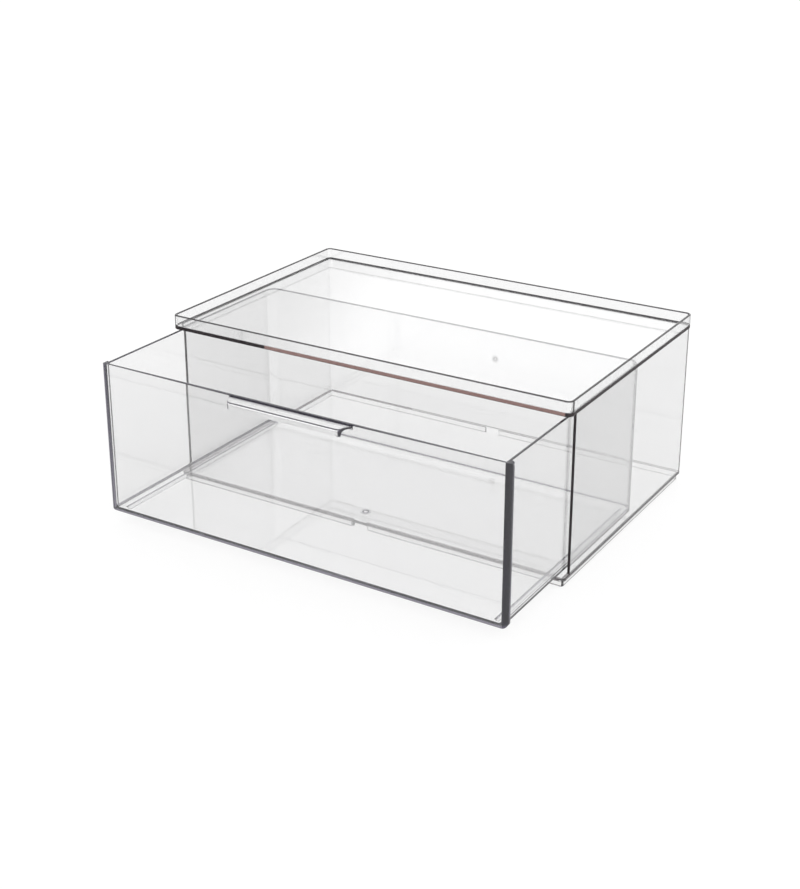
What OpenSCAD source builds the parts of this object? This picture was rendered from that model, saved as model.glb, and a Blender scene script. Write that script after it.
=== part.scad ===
// Clear stackable drawer box: an open-fronted case with a raised stacking rim, and a drawer that
// slides out of it on two runners. Millimetres, +Z up, X across the front, the drawer opens
// towards -Y. The origin lies on the table, under the middle of the box as it stands, drawer open.

/* [Case] */
// Width over the side walls
case_w = 366; // [240:1:460]
// Length of the side walls, front edge to outside of the back
case_d = 220; // [150:1:320]
// Height over everything, table to rim
case_h = 152; // [100:1:220]
// Thickness of the side and back walls
case_wall = 2.2; // [1.6:0.1:4]
// Thickness of the floor plate
floor_t = 2.5; // [1.6:0.1:5]
// Thickness of the top plate
top_t = 2.4; // [1.6:0.1:5]
// How far the top plate stands forward of the side walls
brow = 11; // [10:0.5:20]
// How far the floor plate stands forward of the side walls
sill = 10; // [6:0.5:18]

/* [Stacking] */
// Height of the rim above the top plate
rim_h = 10; // [6:0.5:16]
// Thickness of the rim
rim_wall = 2; // [1.5:0.1:4]
// How far the rim stands out past the side and back walls
rim_overhang = 1; // [0.5:0.1:3]
// Corner radius of the rim, seen from above
rim_r = 5; // [5:0.5:12]
// Height of the foot ring under the floor
foot_h = 5; // [4:0.5:5.5]
// Thickness of the foot ring
foot_wall = 2; // [1.5:0.1:4]
// Gap all round between a foot ring and the rim that it nests in
foot_clear = 0.8; // [0.4:0.1:1.5]
// Width of the break in the foot ring, at the middle of the front and of the back
foot_gap = 16; // [8:1:40]

/* [Drawer] */
// Thickness of the drawer's side and rear walls
drawer_wall = 2; // [1.5:0.1:4]
// Thickness of the drawer's floor
drawer_floor_t = 2.2; // [1.5:0.1:4]
// Outside radius of the drawer's two rear corners
rear_r = 10; // [6:0.5:20]
// Gap between the drawer and the case, each side
side_gap = 1; // [0.5:0.1:2]
// Gap between the drawer's top edge and the top plate
top_gap = 1.1; // [0.5:0.1:3]
// Gap between the closed drawer and the back wall
rear_gap = 1; // [0.9:0.1:4]

/* [Drawer front] */
// Thickness of the front panel
front_t = 2.5; // [1.8:0.1:5]
// How far the front panel hangs below the drawer's underside
front_drop = 2.5; // [1:0.5:5]
// Gap between the front panel and the floor plate
sill_gap = 1.5; // [0.5:0.1:3]
// Depth of the returns at the front panel's two ends, with the panel
return_d = 6; // [4:0.5:8]
// Gap between the closed drawer's returns and the side walls that stop them
close_gap = 0.7; // [0.3:0.1:0.9]
// Radius of the front panel's two lower corners
front_r_low = 5; // [2:0.5:10]
// Radius of the front panel's two upper corners
front_r_top = 2.5; // [1:0.5:5]
// Radius of the front panel's two upright edges, seen from above
front_r_side = 4; // [1:0.5:4]

/* [Finger pull] */
// Width of the finger pull, where it meets the front panel
pull_w = 112; // [60:1:180]
// How much each end of the finger pull draws in towards its front
pull_taper = 6.5; // [0:0.5:8]
// How far the finger pull stands out from the front panel
pull_reach = 11; // [10:0.5:25]
// Height of the finger pull's lip, from the top of the shelf
pull_drop = 7; // [6.6:0.1:20]
// Thickness of the finger pull's shelf
shelf_t = 2.5; // [1.6:0.1:2.6]
// Thickness of the finger pull's lip
lip_t = 2.3; // [1.6:0.1:4]
// Radius of the finger pull's front corners, seen from above
pull_corner_r = 2.5; // [1:0.5:5]
// Radius of the finger pull's upper front edge
pull_edge_r = 1.5; // [0.5:0.1:2]

/* [Runners] */
// Thickness of each runner under the drawer
runner_t = 2; // [1.2:0.1:5]
// Distance from the drawer's side to the middle of the runner
runner_inset = 9; // [6:0.5:30]
// Gap between a runner and the floor plate
runner_gap = 0.3; // [0.2:0.05:0.5]
// Distance from a runner's rear end to the outside of the drawer's rear wall
runner_short = 4; // [1:0.5:20]

/* [Gate marks] */
// Diameter of the round gate marks
gate_d = 7; // [3:0.5:12]
// Height of the gate marks
gate_t = 0.4; // [0.2:0.1:1]
// How far the drawer's gate mark lies in front of the middle of its floor
gate_forward = 11; // [0:1:30]

/* [Pose] */
// How far the drawer stands open
drawer_open = 94.3; // [10:0.1:150]

/* [Hidden] */
$fn = 64;

// The case, front to back: the rim's outside, then the walls and the floor
rim_w = case_w + 2 * rim_overhang;
rim_d = brow + case_d + rim_overhang;
front_inset = brow - return_d - close_gap; // the closed front panel, behind the brow
reach = pull_reach + drawer_open - front_inset; // the open drawer's pull, before the brow
rim_y0 = (reach - rim_d) / 2;
rim_y1 = rim_y0 + rim_d;
wall_y0 = rim_y0 + brow;
wall_y1 = wall_y0 + case_d;
sill_y0 = wall_y0 - sill;
floor_r = rim_r - rim_overhang;

// The case, from the table up
floor_z = foot_h;
floor_top = floor_z + floor_t;
rim_top = case_h;
top_plate_top = rim_top - rim_h;
top_plate_z = top_plate_top - top_t;
inner_w = case_w - 2 * case_wall;

// The foot ring nests inside the rim of the box below
foot_side = rim_overhang - rim_wall - foot_clear; // past the side walls, so it is negative
foot_w = case_w + 2 * foot_side;
foot_y0 = rim_y0 + rim_wall + foot_clear;
foot_y1 = rim_y1 - rim_wall - foot_clear;
foot_r = rim_r - rim_wall - foot_clear;

// The drawer
drawer_w = inner_w - 2 * side_gap;
front_y0 = rim_y0 + front_inset - drawer_open;
front_y1 = front_y0 + front_t;
rear_y1 = wall_y1 - case_wall - rear_gap - drawer_open;
drawer_top = top_plate_z - top_gap;
front_z = floor_top + sill_gap;
drawer_z = front_z + front_drop;
drawer_floor_top = drawer_z + drawer_floor_t;
pull_tip_x = pull_w / 2 - pull_taper;
runner_x = drawer_w / 2 - runner_inset;
runner_z = floor_top + runner_gap;

CLEAR = [0.93, 0.94, 0.96, 0.45];
CLEAR_DRAWER = [0.86, 0.88, 0.92, 0.5];
EDGE = [0.62, 0.63, 0.68, 0.6];
over = 1; // how far a cutting shape runs past what it cuts

// Rectangle with its own radius at each corner: low-left, low-right, high-right, high-left
module rounded_sheet(x0, x1, y0, y1, radii) {
    corners = [[x0, y0, 1, 1], [x1, y0, -1, 1], [x1, y1, -1, -1], [x0, y1, 1, -1]];
    difference() {
        translate([x0, y0]) square([x1 - x0, y1 - y0]);
        for (i = [0 : 3]) if (radii[i] > 0) corner_cut(corners[i], radii[i]);
    }
}

// What is taken off a square corner to leave radius r
module corner_cut(corner, r) {
    centre = [corner[0] + corner[2] * r, corner[1] + corner[3] * r];
    difference() {
        translate([
            min(corner[0] - corner[2] * over, centre[0]),
            min(corner[1] - corner[3] * over, centre[1])
        ]) square(r + over);
        translate(centre) circle(r);
    }
}

// Closed ring between an outside rectangle and one that lies t inside it
module ring_sheet(w, y0, y1, r, t) {
    difference() {
        rounded_sheet(-w / 2, w / 2, y0, y1, [r, r, r, r]);
        rounded_sheet(-w / 2 + t, w / 2 - t, y0 + t, y1 - t, [r - t, r - t, r - t, r - t]);
    }
}

module slab(z0, z1) {
    translate([0, 0, z0]) linear_extrude(z1 - z0) children();
}

// ---- Case ----

module case_floor() {
    color(CLEAR) slab(floor_z, floor_top)
        rounded_sheet(-case_w / 2, case_w / 2, sill_y0, wall_y1, [floor_r, floor_r, floor_r, floor_r]);
}

// Half of the foot ring; side is -1 for the left half and 1 for the right
module foot_ring(side) {
    half = foot_w / 2 + over;
    color(EDGE) slab(0, floor_z) difference() {
        ring_sheet(foot_w, foot_y0, foot_y1, foot_r, foot_wall);
        translate([side > 0 ? -half : 0, foot_y0 - over]) square([half, foot_y1 - foot_y0 + 2 * over]);
        foot_break(foot_y0, 1);
        foot_break(foot_y1, -1);
    }
}

// The break in the foot ring at y, which narrows inwards at 45 degrees
module foot_break(y, inward) {
    wide = foot_gap / 2;
    narrow = wide - foot_wall;
    polygon([
        [-wide - over, y - inward * over], [wide + over, y - inward * over],
        [narrow - over, y + inward * (foot_wall + over)], [over - narrow, y + inward * (foot_wall + over)]
    ]);
}

module foot_ring_left() { foot_ring(-1); }

module foot_ring_right() { foot_ring(1); }

// The side wall's outside back edge is rounded through the thickness of the wall
module case_wall_right() {
    x0 = inner_w / 2;
    color(CLEAR) slab(floor_top, top_plate_z)
        rounded_sheet(x0, x0 + case_wall, wall_y0, wall_y1, [0, 0, case_wall, 0]);
}

module case_wall_left() { mirror([1, 0, 0]) case_wall_right(); }

module case_wall_back() {
    middle = [0, wall_y1 - over, (floor_top + top_plate_z) / 2];
    color(CLEAR) union() {
        slab(floor_top, top_plate_z)
            translate([-inner_w / 2, wall_y1 - case_wall]) square([inner_w, case_wall]);
        translate(middle) rotate([-90, 0, 0]) cylinder(d = gate_d, h = over + gate_t);
    }
}

// The plate fills the rim, whose band runs down past the plate's edge to its underside
module top_plate() {
    t = rim_wall;
    r = rim_r - t;
    color(CLEAR) slab(top_plate_z, top_plate_top)
        rounded_sheet(-rim_w / 2 + t, rim_w / 2 - t, rim_y0 + t, rim_y1 - t, [r, r, r, r]);
}

module stacking_rim() {
    color(EDGE) slab(top_plate_z, rim_top) ring_sheet(rim_w, rim_y0, rim_y1, rim_r, rim_wall);
}

// ---- Drawer ----

// The drawer's outline from above, drawn in by t at its sides and rear, and starting at y0
module drawer_sheet(t, y0) {
    r = rear_r - t;
    rounded_sheet(-drawer_w / 2 + t, drawer_w / 2 - t, y0, rear_y1 - t, [0, 0, r, r]);
}

// The floor lies inside the walls, which run down past its edge to its underside
module drawer_floor() {
    gate_y = (front_y1 + rear_y1) / 2 - gate_forward;
    color(CLEAR_DRAWER) union() {
        slab(drawer_z, drawer_floor_top) drawer_sheet(drawer_wall, front_y1);
        translate([0, gate_y, drawer_z - gate_t]) cylinder(d = gate_d, h = gate_t + over);
    }
}

module drawer_wall_right() {
    color(CLEAR_DRAWER) slab(drawer_z, drawer_top)
        translate([drawer_w / 2 - drawer_wall, front_y1]) square([drawer_wall, rear_y1 - rear_r - front_y1]);
}

module drawer_wall_left() { mirror([1, 0, 0]) drawer_wall_right(); }

module drawer_wall_rear() {
    y0 = rear_y1 - rear_r;
    color(CLEAR_DRAWER) slab(drawer_z, drawer_top) difference() {
        drawer_sheet(0, y0);
        drawer_sheet(drawer_wall, y0 - over);
    }
}

// Outline of the front panel, standing in the XZ plane and given a thickness d towards the back
module front_outline(d) {
    translate([0, front_y0 + d, 0]) rotate([90, 0, 0]) linear_extrude(d)
        rounded_sheet(
            -case_w / 2, case_w / 2, front_z, drawer_top,
            [front_r_low, front_r_low, front_r_top, front_r_top]
        );
}

// The panel turns back at each end, round a corner, and the return stops against the case's side wall
module drawer_front() {
    r = front_r_side;
    color(CLEAR_DRAWER) difference() {
        intersection() {
            front_outline(return_d);
            slab(front_z - over, drawer_top + over)
                rounded_sheet(-case_w / 2, case_w / 2, front_y0, front_y0 + return_d + over, [r, r, 0, 0]);
        }
        translate([-drawer_w / 2, front_y1, front_z - over])
            cube([drawer_w, return_d, drawer_top - front_z + 2 * over]);
    }
}

// The pull is an angle, seen here along X: y towards the back, z up, from the panel's top edge
module pull_profile() {
    rounded_sheet(
        front_y0 - pull_reach, front_y0, drawer_top - pull_drop, drawer_top,
        [lip_t / 2, 0, 0, pull_edge_r]
    );
}

// The pull from above: its ends draw in towards the front, where its corners are round
module pull_plan() {
    difference() {
        polygon([
            [-pull_w / 2, front_y0], [pull_w / 2, front_y0],
            [pull_tip_x, front_y0 - pull_reach], [-pull_tip_x, front_y0 - pull_reach]
        ]);
        pull_corner_cut(-1);
        pull_corner_cut(1);
    }
}

// What is taken off a front corner of the pull, between its front and its leaning end
module pull_corner_cut(side) {
    lean = atan(pull_taper / pull_reach);
    r = pull_corner_r;
    far = r + over;
    centre = [side * (pull_tip_x - r / tan(45 + lean / 2)), front_y0 - pull_reach + r];
    difference() {
        translate(centre)
            polygon([[0, 0], [0, -far], [side * far, -far], [side * far * cos(lean), -far * sin(lean)]]);
        translate(centre) circle(r);
    }
}

// What the pull's outline leaves of a bar along X, whose section is the rectangle y0 to y1 by z0 to z1
module pull_bar(y0, y1, z0, z1) {
    intersection() {
        translate([-pull_w / 2, 0, 0]) rotate([90, 0, 90]) linear_extrude(pull_w) intersection() {
            pull_profile();
            translate([y0, z0]) square([y1 - y0, z1 - z0]);
        }
        slab(z0, z1) pull_plan();
    }
}

module pull_shelf() {
    color(EDGE) pull_bar(front_y0 - pull_reach + lip_t, front_y0, drawer_top - shelf_t, drawer_top);
}

module pull_lip() {
    y0 = front_y0 - pull_reach;
    color(EDGE) pull_bar(y0, y0 + lip_t, drawer_top - pull_drop, drawer_top);
}

module runner_right() {
    x0 = runner_x - runner_t / 2;
    color(EDGE) slab(runner_z, drawer_z)
        rounded_sheet(x0, x0 + runner_t, front_y1, rear_y1 - runner_short, [0, 0, runner_t / 2, runner_t / 2]);
}

module runner_left() { mirror([1, 0, 0]) runner_right(); }

case_floor();
foot_ring_left();
foot_ring_right();
case_wall_left();
case_wall_right();
case_wall_back();
top_plate();
stacking_rim();
drawer_floor();
drawer_wall_left();
drawer_wall_right();
drawer_wall_rear();
drawer_front();
pull_shelf();
pull_lip();
runner_left();
runner_right();
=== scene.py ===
import math

import bmesh
import bpy
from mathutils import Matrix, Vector

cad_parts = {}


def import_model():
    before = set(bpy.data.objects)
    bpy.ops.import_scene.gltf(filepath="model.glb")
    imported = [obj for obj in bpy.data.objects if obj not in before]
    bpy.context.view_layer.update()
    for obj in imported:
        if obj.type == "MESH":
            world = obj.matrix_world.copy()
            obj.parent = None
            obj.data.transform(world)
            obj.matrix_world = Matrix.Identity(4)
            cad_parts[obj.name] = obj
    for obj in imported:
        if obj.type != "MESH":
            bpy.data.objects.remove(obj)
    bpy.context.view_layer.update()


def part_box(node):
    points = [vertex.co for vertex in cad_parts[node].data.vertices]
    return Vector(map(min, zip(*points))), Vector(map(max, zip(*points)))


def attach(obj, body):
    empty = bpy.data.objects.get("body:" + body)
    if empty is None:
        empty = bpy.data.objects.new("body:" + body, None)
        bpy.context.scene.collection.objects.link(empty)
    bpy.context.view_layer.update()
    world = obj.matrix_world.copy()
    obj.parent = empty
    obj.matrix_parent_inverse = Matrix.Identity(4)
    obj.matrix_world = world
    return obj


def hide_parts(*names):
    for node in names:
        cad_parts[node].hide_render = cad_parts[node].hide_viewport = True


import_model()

# The case's lid plate and stacking rim. Crystal styrene, part of the case's one moulding. The plate is
# let into a band that rises 10 mm above it and holds the foot ring of the next box; the band hangs down
# past the plate's edge, so from outside it reads as one thick edge.
MM = 0.001
NEAR = 0.01  # mm, two places this close count as one
SHARP = 0.6  # radians, only an edge that turns more than this is rounded
PAST = 20  # mm, how far a cutter runs past what it cuts
EDGE = 0.5  # mm, the small round on an edge that needs no larger one
PLATE_ROUND = 0.8  # mm, the round where the band meets the lid plate
rim_low, rim_high = (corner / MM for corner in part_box("stacking_rim"))
plate_low, plate_high = (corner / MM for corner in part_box("top_plate"))


def show_only(piece):
    """Selects one piece and nothing else, and makes it active."""
    bpy.ops.object.select_all(action="DESELECT")
    piece.select_set(True)
    bpy.context.view_layer.objects.active = piece


def block(name, low, high):
    """A block between two corners given in mm, with its place in its mesh."""
    low, high = Vector(low), Vector(high)
    bpy.ops.object.select_all(action="DESELECT")
    bpy.ops.mesh.primitive_cube_add(size=1, location=(low + high) / 2 * MM)
    piece = bpy.context.object
    piece.name = piece.data.name = name
    piece.scale = (high - low) * MM
    bpy.ops.object.transform_apply(location=True, rotation=True, scale=True)
    return piece


def round_edges(piece, *choices, radius, steps):
    """Rounds the sharp edges that every choice takes. A choice gets the edge's two ends, in mm."""
    show_only(piece)
    bpy.ops.object.mode_set(mode="EDIT")
    bpy.ops.mesh.select_mode(type="EDGE")
    bpy.ops.mesh.select_all(action="DESELECT")
    mesh = bmesh.from_edit_mesh(piece.data)
    for edge in mesh.edges:
        a, b = (v.co / MM for v in edge.verts)
        edge.select = edge.calc_face_angle(0) > SHARP and all(choice(a, b) for choice in choices)
    mesh.select_flush_mode()
    bmesh.update_edit_mesh(piece.data)
    bpy.ops.mesh.bevel(offset=radius * MM, offset_type="OFFSET", segments=steps, profile=0.5, affect="EDGES")
    bpy.ops.object.mode_set(mode="OBJECT")


def upright(a, b):
    """Chooses the upright edges."""
    return abs(a.z - b.z) > 1 and abs(a.x - b.x) < NEAR and abs(a.y - b.y) < NEAR


def level_at(z):
    """Chooses the edges that lie at a height."""
    return lambda a, b: abs(a.z - z) < NEAR and abs(b.z - z) < NEAR


def combine(piece, tool, how):
    """Welds the tool on or cuts it out, and takes the tool away."""
    show_only(piece)
    bpy.ops.object.modifier_add(type="BOOLEAN")
    step = piece.modifiers[-1]
    step.operation, step.solver, step.object = how, "EXACT", tool
    bpy.ops.object.modifier_apply(modifier=step.name)
    bpy.data.objects.remove(tool)


case = block("case_moulding", rim_low, rim_high)
round_edges(case, upright, radius=5, steps=10)
pocket = block(
    "pocket",
    (plate_low.x, plate_low.y, plate_high.z),
    (plate_high.x, plate_high.y, rim_high.z + PAST),
)
round_edges(pocket, upright, radius=3, steps=8)
round_edges(pocket, level_at(plate_high.z), radius=PLATE_ROUND, steps=4)
combine(case, pocket, "DIFFERENCE")
round_edges(case, level_at(rim_high.z), radius=0.9, steps=4)
round_edges(case, level_at(rim_low.z), radius=EDGE, steps=3)

# The case's side walls and back. Same moulding: flat walls 2.2 mm thick, drawn straight from the mould,
# with the outer edges at the back rounded through the wall.
side_low, side_high = (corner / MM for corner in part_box("case_wall_right"))
floor_low, floor_high = (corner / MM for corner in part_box("case_floor"))
SUNK = 1.2  # mm, how far one wall is let into another before they are welded
WALL = side_high.x - side_low.x
back_out = side_high.y


def before(y):
    """Chooses the edges that lie wholly in front of a place."""
    return lambda a, b: max(a.y, b.y) < y


def behind(y):
    """Chooses the edges that lie wholly behind a place."""
    return lambda a, b: min(a.y, b.y) > y


walls = block(
    "walls",
    (-side_high.x, side_low.y, floor_low.z + SUNK),
    (side_high.x, back_out, plate_low.z + SUNK),
)
round_edges(walls, upright, behind(0), radius=WALL, steps=6)
room = block(
    "room",
    (-side_low.x, side_low.y - PAST, 0),
    (side_low.x, back_out - WALL, plate_low.z + PAST),
)
round_edges(room, upright, behind(0), radius=0.6, steps=3)
combine(walls, room, "DIFFERENCE")
round_edges(walls, upright, before(0), radius=EDGE, steps=3)
combine(case, walls, "UNION")

# The case's floor plate. Same moulding, 2.5 mm thick. It runs 10 mm out in front of the side walls as a
# sill that carries the open drawer.
floor_plate = block("floor_plate", floor_low, floor_high)
round_edges(floor_plate, upright, before(0), radius=4, steps=8)
round_edges(floor_plate, upright, behind(0), radius=WALL, steps=6)
round_edges(floor_plate, level_at(floor_low.z), radius=EDGE, steps=3)
round_edges(floor_plate, level_at(floor_high.z), radius=EDGE, steps=3)
combine(case, floor_plate, "UNION")

# The foot ring. A thin wall under the floor plate, broken at the middle of the front and of the back,
# where the mould's core is cooled; each break narrows inwards at 45 degrees.
ring_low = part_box("foot_ring_left")[0] / MM
ring_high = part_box("foot_ring_right")[1] / MM
RING = 2  # mm, the ring's wall
BREAK = 8  # mm, half of a break's width at the wall's outer face
OUT, IN = 1, 3  # mm, how far a break's cutter reaches to each side of that face


def draw_in(piece, y, share):
    """Narrows a block's end at y, in mm, to a share of its width."""
    show_only(piece)
    bpy.ops.object.mode_set(mode="EDIT")
    bpy.ops.mesh.select_mode(type="VERT")
    bpy.ops.mesh.select_all(action="DESELECT")
    mesh = bmesh.from_edit_mesh(piece.data)
    for vertex in mesh.verts:
        vertex.select = abs(vertex.co.y / MM - y) < NEAR
    mesh.select_flush_mode()
    bmesh.update_edit_mesh(piece.data)
    bpy.ops.transform.resize(value=(share, 1, 1))
    bpy.ops.object.mode_set(mode="OBJECT")


ring = block("ring", (ring_low.x, ring_low.y, 0), (ring_high.x, ring_high.y, floor_low.z + SUNK))
round_edges(ring, upright, radius=2.2, steps=5)
hollow = block(
    "hollow",
    (ring_low.x + RING, ring_low.y + RING, -PAST),
    (ring_high.x - RING, ring_high.y - RING, PAST),
)
combine(ring, hollow, "DIFFERENCE")
for face_y, inward in ((ring_low.y, 1), (ring_high.y, -1)):
    wide_y, narrow_y = face_y - OUT * inward, face_y + IN * inward
    notch = block(
        "notch",
        (-BREAK - OUT, min(wide_y, narrow_y), -PAST),
        (BREAK + OUT, max(wide_y, narrow_y), PAST),
    )
    draw_in(notch, narrow_y, (BREAK - IN) / (BREAK + OUT))
    combine(ring, notch, "DIFFERENCE")
round_edges(ring, level_at(0), radius=EDGE, steps=3)
combine(case, ring, "UNION")

# The case's finish. Crystal styrene from a polished steel mould: the sheets are clear and glossy. Their
# edges, which gather what runs through the sheets, show as thin dark or grey lines; these are painted
# shade, the dark tints of the edge materials, and one warm brown stretch of the lid's front edge is a
# painted reflection. The plastic enters at the middle of the back and leaves its gate mark there.
SEAM = math.radians(0.5)  # faces that turn less than this are one face, cut up by the welding
NARROW = 2.8  # mm, a flat strip no wider than this is the edge of a sheet
SHEET, CASE_EDGE_SHADE, FRONT_EDGE_REFLECTION, DARK_EDGE_SHADE = range(4)  # the case's material slots


def square(normal):
    """Whether a face looks straight along an axis."""
    return max(abs(c) for c in normal) > 0.9999


def share_out(piece, slot_of, cuts):
    """Takes out the seams that welding leaves, cuts the faces along planes (point in mm, normal) and gives
    each face its material slot; slot_of gets its centre, its normal and whether it is a narrow flat.
    Upright sheets and round upright corners are marked for the material's painted slant shade and dark
    outline."""
    show_only(piece)
    bpy.ops.object.mode_set(mode="EDIT")
    bpy.ops.mesh.select_all(action="SELECT")
    bpy.ops.mesh.remove_doubles(threshold=NEAR * MM)
    bpy.ops.mesh.dissolve_limited(angle_limit=SEAM)
    bpy.ops.mesh.normals_make_consistent(inside=False)
    for point, normal in cuts:
        bpy.ops.mesh.select_all(action="SELECT")
        bpy.ops.mesh.bisect(plane_co=Vector(point) * MM, plane_no=normal)
    bpy.ops.object.mode_set(mode="OBJECT")
    piece.data.attributes.new("upright", "FLOAT", "FACE")
    piece.data.attributes.new("round_corner", "FLOAT", "FACE")
    stands, corners = (piece.data.attributes[name].data for name in ("upright", "round_corner"))
    for i, face in enumerate(piece.data.polygons):
        points = [piece.data.vertices[k].co / MM for k in face.vertices]
        round_it = sum((a - b).length for a, b in zip(points, points[1:] + points[:1]))
        narrow = square(face.normal) and 2 * face.area / MM**2 / round_it < NARROW
        face.material_index = slot_of(face.center / MM, face.normal, narrow)
        stands[i].value = face.material_index == SHEET and abs(face.normal.z) < 0.01
        corners[i].value = stands[i].value and not square(face.normal)


def gate_mark(piece, centre, towards, width):
    """A low round boss that stands out along towards, with a small crater; its width is in mm."""
    centre, towards = Vector(centre), Vector(towards)
    height = 0.4  # mm, how far the boss stands out
    chamfer = 0.12  # mm, how much of that its edge slopes up
    bpy.ops.object.select_all(action="DESELECT")
    bpy.ops.mesh.primitive_cylinder_add(
        vertices=40,
        radius=width / 2 * MM,
        depth=(SUNK + height - chamfer) * MM,
        location=(centre + towards * (height - chamfer - SUNK) / 2) * MM,
        rotation=Vector((0, 0, 1)).rotation_difference(towards).to_euler(),
    )
    boss = bpy.context.object
    bpy.ops.object.transform_apply(location=True, rotation=True, scale=True)
    bpy.ops.object.mode_set(mode="EDIT")
    bpy.ops.mesh.select_mode(type="FACE")
    bpy.ops.mesh.select_all(action="DESELECT")
    mesh = bmesh.from_edit_mesh(boss.data)
    for face in mesh.faces:
        face.select = face.normal.dot(towards) > 0.9
    bmesh.update_edit_mesh(boss.data)
    # In and up in mm: the chamfer, a flat ring, two slopes down into the crater and a pip at its bottom
    for step, rise in ((0.3, chamfer), (0.8, 0.0), (0.5, -0.13), (0.6, -0.15), (0.5, 0.1)):
        bpy.ops.mesh.inset(thickness=step * MM)
        bpy.ops.transform.translate(value=towards * rise * MM)
    bpy.ops.object.mode_set(mode="OBJECT")
    # The slopes of more than 11 degrees go to the slot of the moulding's edges and take its painted shade,
    # the flats to the sheet's
    boss.data.materials.append(None)
    boss.data.materials.append(None)
    for face in boss.data.polygons:
        face.material_index = int(face.normal.dot(towards) < 0.982)
    combine(piece, boss, "UNION")


def smooth_moulding(piece):
    """Shades the rounds smooth and keeps the flats flat."""
    show_only(piece)
    bpy.ops.object.shade_smooth_by_angle(angle=math.radians(35))
    bpy.ops.object.modifier_add(type="WEIGHTED_NORMAL")
    flat = piece.modifiers[-1]
    flat.mode, flat.weight, flat.keep_sharp = "FACE_AREA", 100, True
    bpy.ops.object.modifier_apply(modifier=flat.name)


def hex_colour(text):
    """An sRGB hex colour as linear red, green and blue, and an alpha of 1."""
    parts = [int(text[i : i + 2], 16) / 255 for i in (0, 2, 4)]
    return [c / 12.92 if c <= 0.04045 else ((c + 0.055) / 1.055) ** 2.4 for c in parts] + [1]


def add_node(tree, kind, links=(), values=None, **settings):
    """Adds a node, sets its properties and its inputs' values, and links (input, from node, output)."""
    node = tree.nodes.new(kind)
    for key, value in settings.items():
        setattr(node, key, value)
    for socket, value in (values or {}).items():
        node.inputs[socket].default_value = value
    for socket, source, output in links:
        tree.links.new(source.outputs[output], node.inputs[socket])
    return node


def crystal_styrene(name, tint, clear, gloss, slant_shade_tint=None, outline_shade_tint=None):
    """Crystal styrene, injection moulded and unpainted: clear and glossy, a little wavy and hazy. A sheet
    is given two more tints, both painted shade: one that it takes on as it is seen more on the slant, and
    one for the dark outline where a round upright corner turns away."""
    material = bpy.data.materials.new(name)
    material.use_nodes = True
    tree = material.node_tree
    tree.nodes.clear()
    where = add_node(tree, "ShaderNodeTexCoord")
    # 22 swells a metre: the waves, about 45 mm long, that cooling leaves in a flat wall
    swell = add_node(
        tree, "ShaderNodeTexNoise", [("Vector", where, "Object")], {"Scale": 22.0, "Detail": 1.0}
    )
    bump = add_node(
        tree, "ShaderNodeBump", [("Height", swell, "Fac")], {"Strength": 0.12, "Distance": 0.0004}
    )
    # 60 patches a metre: about 17 mm each, where the mould's polish is a little better or worse
    haze = add_node(
        tree, "ShaderNodeTexNoise", [("Vector", where, "Object")], {"Scale": 60.0, "Detail": 3.0}
    )
    rough = add_node(
        tree, "ShaderNodeMapRange", [("Value", haze, "Fac")], {"To Min": 0.0, "To Max": 0.02}
    )
    skin = add_node(
        tree, "ShaderNodeBsdfPrincipled",
        [("Roughness", rough, "Result"), ("Normal", bump, "Normal")],
        {
            "Base Color": hex_colour(tint), "IOR": 1.59,
            "Transmission Weight": clear, "Specular IOR Level": gloss,
        },
    )
    # What the body of the plastic takes from a ray that runs a long way inside a wall
    depth = add_node(
        tree, "ShaderNodeVolumeAbsorption", values={"Color": hex_colour("9A98A4"), "Density": 8.0}
    )
    add_node(tree, "ShaderNodeOutputMaterial", [("Surface", skin, "BSDF"), ("Volume", depth, "Volume")])
    if slant_shade_tint is None:
        return material
    # Facing is 1 less the cosine of the angle to the view: the painted grey shade comes in from 44 to 57
    # degrees and the painted dark outline from 57 to 62
    facing = add_node(tree, "ShaderNodeLayerWeight", values={"Blend": 0.5})
    stands = add_node(tree, "ShaderNodeAttribute", attribute_name="upright")
    slant = add_node(
        tree, "ShaderNodeMapRange", [("Value", facing, "Facing"), ("To Max", stands, "Fac")],
        {"From Min": 0.28, "From Max": 0.46}, interpolation_type="SMOOTHSTEP",
    )
    sheet = add_node(
        tree, "ShaderNodeMix", [("Factor", slant, "Result")],
        {6: hex_colour(tint), 7: hex_colour(slant_shade_tint)}, data_type="RGBA",
    )
    corner = add_node(tree, "ShaderNodeAttribute", attribute_name="round_corner")
    turn = add_node(
        tree, "ShaderNodeMapRange", [("Value", facing, "Facing"), ("To Max", corner, "Fac")],
        {"From Min": 0.45, "From Max": 0.53}, interpolation_type="SMOOTHSTEP",
    )
    colour = add_node(
        tree, "ShaderNodeMix", [("Factor", turn, "Result"), (6, sheet, 2)],
        {7: hex_colour(outline_shade_tint)}, data_type="RGBA",
    )
    tree.links.new(colour.outputs[2], skin.inputs["Base Color"])
    return material


# The sheets: all but clear, with painted shade: a faint grey on the slant, near black along a round corner's
# outline
styrene = crystal_styrene(
    "crystal_styrene", "F8F8F8", clear=0.99, gloss=0.5, slant_shade_tint="E8E8E8", outline_shade_tint="101011"
)
# The case's edges and rounds: thin grey lines of painted shade that let most light through
case_edge_shade = crystal_styrene("crystal_styrene_case_edge_shade", "686264", clear=0.94, gloss=0.1)
# The lid plate's front edge beyond the near-black stretch: a warm brown line, a painted reflection
front_edge_reflection = crystal_styrene("crystal_styrene_front_edge_reflection", "C49A92", clear=0.5, gloss=0.35)
# The rest of the lid plate's edge and the side walls' front edges: near black painted shade, with no gloss
dark_edge_shade = crystal_styrene("crystal_styrene_dark_edge_shade", "3A3436", clear=0.3, gloss=0.0)
case.data.materials.clear()
for material in (styrene, case_edge_shade, front_edge_reflection, dark_edge_shade):
    case.data.materials.append(material)

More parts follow.
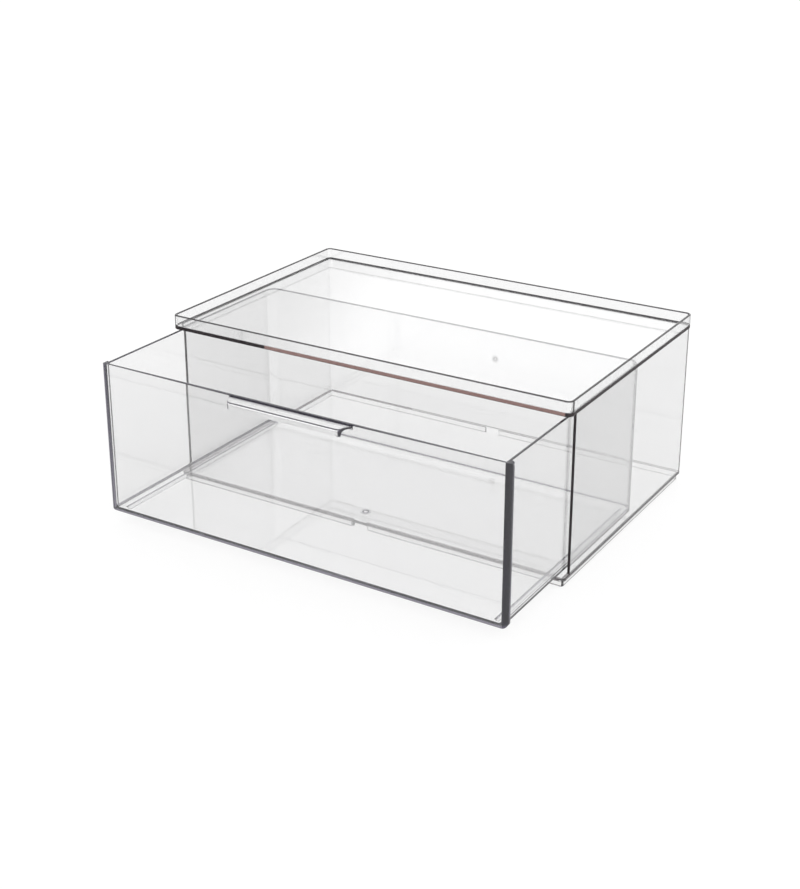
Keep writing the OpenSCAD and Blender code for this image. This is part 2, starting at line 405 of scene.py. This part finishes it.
# Along the lid's front edge, painted near-black shade runs up to here and a painted warm reflection beyond
FRONT_DARK = -89  # mm, the lid's front edge is dark up to here and warm brown beyond
CORNERS = 60  # mm, the case's upright corners lie further than this from the middle, to front and back
lid_edge_top = plate_high.z + PLATE_ROUND


def case_slot(centre, normal, narrow):
    """The case's slot for a face: the near-black painted shade for the side walls' front edges, that shade
    and the painted warm reflection along the lid plate, the grey painted shade for the other edges and
    rounds, and the sheet for the rest."""
    on_wall_front = centre.y < side_low.y + 1 and floor_high.z < centre.z < rim_low.z - 1
    stands = abs(normal.z) < 0.01
    on_lid_edge = stands and plate_low.z < centre.z < lid_edge_top
    if on_wall_front:
        return DARK_EDGE_SHADE
    if narrow and on_lid_edge:
        in_front = centre.y < rim_low.y + 0.1
        return FRONT_EDGE_REFLECTION if in_front and centre.x > FRONT_DARK else DARK_EDGE_SHADE
    if narrow:
        return CASE_EDGE_SHADE
    if square(normal):
        return SHEET
    if stands and abs(centre.y) > CORNERS:
        return DARK_EDGE_SHADE if on_lid_edge else SHEET
    return SHEET if plate_high.z < centre.z < lid_edge_top else CASE_EDGE_SHADE


share_out(
    case,
    case_slot,
    (
        ((0, 0, floor_high.z), (0, 0, 1)),
        ((0, 0, lid_edge_top), (0, 0, 1)),
        ((FRONT_DARK, 0, 0), (1, 0, 0)),
    ),
)
gate_mark(case, (0, back_out, (floor_high.z + plate_low.z) / 2), (0, 1, 0), width=7)
smooth_moulding(case)
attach(case, "case")
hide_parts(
    "case_floor", "foot_ring_left", "foot_ring_right", "case_wall_left", "case_wall_right",
    "case_wall_back", "top_plate", "stacking_rim",
)

# The drawer's tub. Crystal styrene, moulded in one with the drawer's front, pull and runners: a floor, two
# sides and a rear wall, about 2 mm thick, with wide round rear corners that leave the mould easily.
tub_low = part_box("drawer_wall_left")[0] / MM
rear_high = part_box("drawer_wall_rear")[1] / MM
tub_high = Vector((-tub_low.x, rear_high.y, rear_high.z))
tub_floor = (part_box("drawer_floor")[1] / MM).z
front_low, front_high = (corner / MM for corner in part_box("drawer_front"))
PANEL = 2.5  # mm, the front panel's thickness
TUB = 2  # mm, the tub's wall
TUB_ROUND = 1.2  # mm, the round along the tub's bottom
panel_back = front_low.y + PANEL

drawer = block("drawer_moulding", (-tub_high.x, panel_back - SUNK, tub_low.z), tub_high)
round_edges(drawer, upright, behind(0), radius=10, steps=14)
round_edges(drawer, level_at(tub_low.z), radius=TUB_ROUND, steps=4)
tub_room = block(
    "tub_room",
    (-tub_high.x + TUB, panel_back - PAST, tub_floor),
    (tub_high.x - TUB, tub_high.y - TUB, tub_high.z + PAST),
)
round_edges(tub_room, upright, behind(0), radius=8, steps=14)
open_front = before(panel_back - PAST + 1)
round_edges(tub_room, level_at(tub_floor), lambda a, b: not open_front(a, b), radius=2.5, steps=6)
combine(drawer, tub_room, "DIFFERENCE")
round_edges(drawer, level_at(tub_high.z), radius=0.9, steps=4)

# The drawer's front panel. Same moulding: a flat panel a little wider than the tub, which hangs a little
# below it, with a short return at each end that stiffens it and stops against the case's side wall.
LIFT = 1.1  # mm, the panel ends this much above its solid's bottom
panel_middle = (front_low.z + front_high.z) / 2
panel_face = before(front_low.y + NEAR)


def front_to_back(a, b):
    """Chooses the edges that run from front to back."""
    return abs(a.y - b.y) > 1


def below(z):
    """Chooses the edges that lie wholly below a height."""
    return lambda a, b: max(a.z, b.z) < z


def above(z):
    """Chooses the edges that lie wholly above a height."""
    return lambda a, b: min(a.z, b.z) > z


panel = block("panel", (front_low.x, front_low.y, front_low.z + LIFT), front_high)
# Its corners, seen from in front, and then its face's bottom and upper edge
round_edges(panel, front_to_back, below(panel_middle), radius=5, steps=8)
round_edges(panel, front_to_back, above(panel_middle), radius=2.5, steps=6)
round_edges(panel, panel_face, below(front_high.z - 3), radius=0.9, steps=6)
round_edges(panel, panel_face, level_at(front_high.z), radius=1.8, steps=5)
# Its upright ends and returns, seen from above
ends = block("ends", (front_low.x, front_low.y, 0), (front_high.x, front_high.y, front_high.z + PAST))
round_edges(ends, upright, panel_face, radius=4, steps=12)
round_edges(ends, upright, behind(front_high.y - NEAR), radius=1.2, steps=5)
combine(panel, ends, "INTERSECT")
between_returns = block(
    "between_returns",
    (-tub_high.x, panel_back, 0),
    (tub_high.x, panel_back + PAST, front_high.z + PAST),
)
combine(panel, between_returns, "DIFFERENCE")
round_edges(panel, level_at(front_high.z), behind(panel_back - NEAR), radius=0.65, steps=3)
combine(drawer, panel, "UNION")

# The finger pull. Same moulding: a shelf that stands out from the panel's top edge, with a lip hanging from
# its front and a groove behind the lip for the fingertips. It narrows a little towards the hand.
lip_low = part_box("pull_lip")[0] / MM
shelf_low, shelf_high = (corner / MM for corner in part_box("pull_shelf"))
LIP = 2.3  # mm, the lip's thickness
STEP = 0.9  # mm, the shelf lies this much below the panel's top edge
TAPER = 6.5  # mm, how much each end draws in towards the front
shelf_top = shelf_high.z - STEP

pull = block("pull", (-shelf_high.x, lip_low.y, lip_low.z), (shelf_high.x, front_low.y + SUNK, shelf_top))
draw_in(pull, lip_low.y, (shelf_high.x - TAPER) / shelf_high.x)
round_edges(pull, upright, before(lip_low.y + NEAR), radius=2.5, steps=6)
round_edges(pull, level_at(shelf_top), before(front_low.y), radius=1.3, steps=5)
round_edges(pull, level_at(lip_low.z), before(lip_low.y + 0.5), radius=0.9, steps=4)
groove = block(
    "groove",
    (-shelf_high.x - PAST, lip_low.y + LIP, lip_low.z - PAST),
    (shelf_high.x + PAST, front_low.y, shelf_low.z),
)
round_edges(groove, level_at(shelf_low.z), before(lip_low.y + LIP + 0.1), radius=3.6, steps=8)
round_edges(groove, level_at(shelf_low.z), behind(front_low.y - 0.1), radius=1.5, steps=5)
combine(pull, groove, "DIFFERENCE")
combine(drawer, pull, "UNION")

# The runners. Same moulding: two low ribs under the tub that the drawer slides on, plastic on plastic. Each
# has a lead-in at both ends, so that it rides over the edge of the case's floor.
runner_low, runner_high = (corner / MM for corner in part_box("runner_right"))
LEAD = 8  # mm, the length of a lead-in
lead_rise = front_low.z + 0.4 - runner_low.z  # to just above the bottom of the panel's solid

for side in (-1, 1):
    x0, x1 = sorted((side * runner_low.x, side * runner_high.x))
    runner = block(
        "runner",
        (x0, runner_low.y - SUNK, runner_low.z),
        (x1, runner_high.y, runner_high.z + SUNK),
    )
    round_edges(runner, upright, behind(0), radius=0.9, steps=4)
    show_only(runner)
    bpy.ops.object.mode_set(mode="EDIT")
    for towards, lead_start in ((-1, runner_low.y + LEAD), (1, runner_high.y - LEAD)):
        bpy.ops.mesh.select_all(action="SELECT")
        bpy.ops.mesh.bisect(
            plane_co=(0, lead_start * MM, runner_low.z * MM),
            plane_no=(0, towards * lead_rise, -LEAD), clear_outer=True, use_fill=True,
        )
    bpy.ops.object.mode_set(mode="OBJECT")
    round_edges(runner, level_at(runner_low.z), radius=EDGE, steps=3)
    combine(drawer, runner, "UNION")

# The drawer's finish. The same plastic and the same polished mould steel as the case's. The plastic enters
# under the tub's floor and leaves its gate mark there.
# The shelf's top is painted dark as shade for this width beside the panel
SHADE = 2.5  # mm, how much of the shelf is dark beside the panel
DRAWER_EDGE_SHADE = 1  # the drawer's second material slot; its first is the sheet's

# The drawer's edges: dark grey lines of painted shade, with a cold cast and some gloss
drawer_edge_shade = crystal_styrene("crystal_styrene_drawer_edge_shade", "5C5868", clear=0.92, gloss=0.3)
drawer.data.materials.clear()
for material in (styrene, drawer_edge_shade):
    drawer.data.materials.append(material)


def drawer_slot(centre, normal, narrow):
    """The drawer's slot for a face: the drawer's painted edge shade along the pull, the panel, the tub's
    bottom and its brim, and the sheet for the rest."""
    if centre.y < front_low.y - 0.05:  # on the pull
        end = abs(normal.x) > 0.5
        shelf_round = normal.z > 0.25 and -0.97 < normal.y < -0.5
        # a strip of the shelf's top beside the panel, painted dark as shade
        strip = normal.z > 0.9 and centre.y > front_low.y - SHADE
        edge = end or shelf_round or strip
    elif square(normal):
        edge = narrow
    else:
        on_panel = centre.y < panel_back + 1.5
        on_bottom = centre.z < tub_low.z + TUB_ROUND
        on_brim = centre.z > tub_high.z - 1
        edge = on_panel or on_bottom or on_brim
    return DRAWER_EDGE_SHADE if edge else SHEET


share_out(drawer, drawer_slot, [((0, front_low.y - SHADE, 0), (0, 1, 0))])
gate_mark(drawer, (0, (panel_back + tub_high.y) / 2 - 11, tub_low.z), (0, 0, -1), width=8.5)
smooth_moulding(drawer)
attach(drawer, "drawer")
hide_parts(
    "drawer_floor", "drawer_wall_left", "drawer_wall_right", "drawer_wall_rear", "drawer_front",
    "pull_shelf", "pull_lip", "runner_left", "runner_right",
)

# The studio's floor. A sweep of white paper, half a millimetre under the box. To the eye, in a gloss or
# through the plastic it glows nearly white by itself and keeps a soft shadow; other light sees plain paper.
bpy.ops.object.select_all(action="DESELECT")
bpy.ops.mesh.primitive_plane_add(size=12, location=(0, 0, -0.5 * MM))
floor = bpy.context.object
floor.name = "studio_floor"
white = bpy.data.materials.new("white_paper")
white.use_nodes = True
tree = white.node_tree
tree.nodes.clear()
paper = add_node(tree, "ShaderNodeBsdfDiffuse", values={"Color": hex_colour("F4F4F4")})
# 0.13 of lit paper and 0.87 of glow together come to 1, which is white
shadow = add_node(tree, "ShaderNodeBsdfDiffuse", values={"Color": hex_colour("656565")})
glow = add_node(tree, "ShaderNodeEmission", values={"Strength": 0.87})
lit = add_node(tree, "ShaderNodeAddShader", [(0, shadow, "BSDF"), (1, glow, "Emission")])
seen = add_node(tree, "ShaderNodeLightPath")
clear_view = add_node(
    tree, "ShaderNodeMath", [(0, seen, "Is Camera Ray"), (1, seen, "Is Glossy Ray")], operation="MAXIMUM"
)
any_view = add_node(
    tree, "ShaderNodeMath", [(0, clear_view, "Value"), (1, seen, "Is Transmission Ray")],
    operation="MAXIMUM",
)
mixed = add_node(
    tree, "ShaderNodeMixShader", [(0, any_view, "Value"), (1, paper, "BSDF"), (2, lit, "Shader")]
)
add_node(tree, "ShaderNodeOutputMaterial", [("Surface", mixed, "Shader")])
floor.data.materials.append(white)

# The studio's light and camera. Soft white light from all round, half as strong again from a side that
# lies 45 degrees up, to the right and behind. The camera stands 1.3 m away, in front and to the right.
world = bpy.data.worlds.new("soft_white_room")
bpy.context.scene.world = world
world.use_nodes = True
tree = world.node_tree
tree.nodes.clear()
way = add_node(tree, "ShaderNodeTexCoord")
window_side = add_node(
    tree, "ShaderNodeVectorMath", [(0, way, "Generated")], {1: (0.602, 0.371, 0.707)},
    operation="DOT_PRODUCT",
)
# 1.5 within 76 degrees of the window side and 1 from 81 degrees on, as cosines
brightness = add_node(
    tree, "ShaderNodeMapRange", [("Value", window_side, "Value")],
    {"From Min": 0.165, "From Max": 0.235, "To Min": 1.0, "To Max": 1.5}, interpolation_type="SMOOTHSTEP",
)
sky = add_node(
    tree, "ShaderNodeBackground", [("Strength", brightness, "Result")], {"Color": hex_colour("FFFFFF")}
)
add_node(tree, "ShaderNodeOutputWorld", [("Surface", sky, "Background")])

bpy.ops.object.camera_add(location=(0.61148, -0.99215, 0.56769))
camera = bpy.context.object
camera.name = "camera"
camera.rotation_euler = (math.radians(90 - 20.55), 0, math.radians(31.69))
camera.data.lens = 61.92
camera.data.sensor_width = 36
camera.data.shift_y = -0.1
scene = bpy.context.scene
scene.camera = camera
scene.view_settings.view_transform = "Standard"
# A ray through the box crosses many walls, and each surface is a bounce
scene.cycles.max_bounces = 256
scene.cycles.transmission_bounces = 256
scene.cycles.glossy_bounces = 64
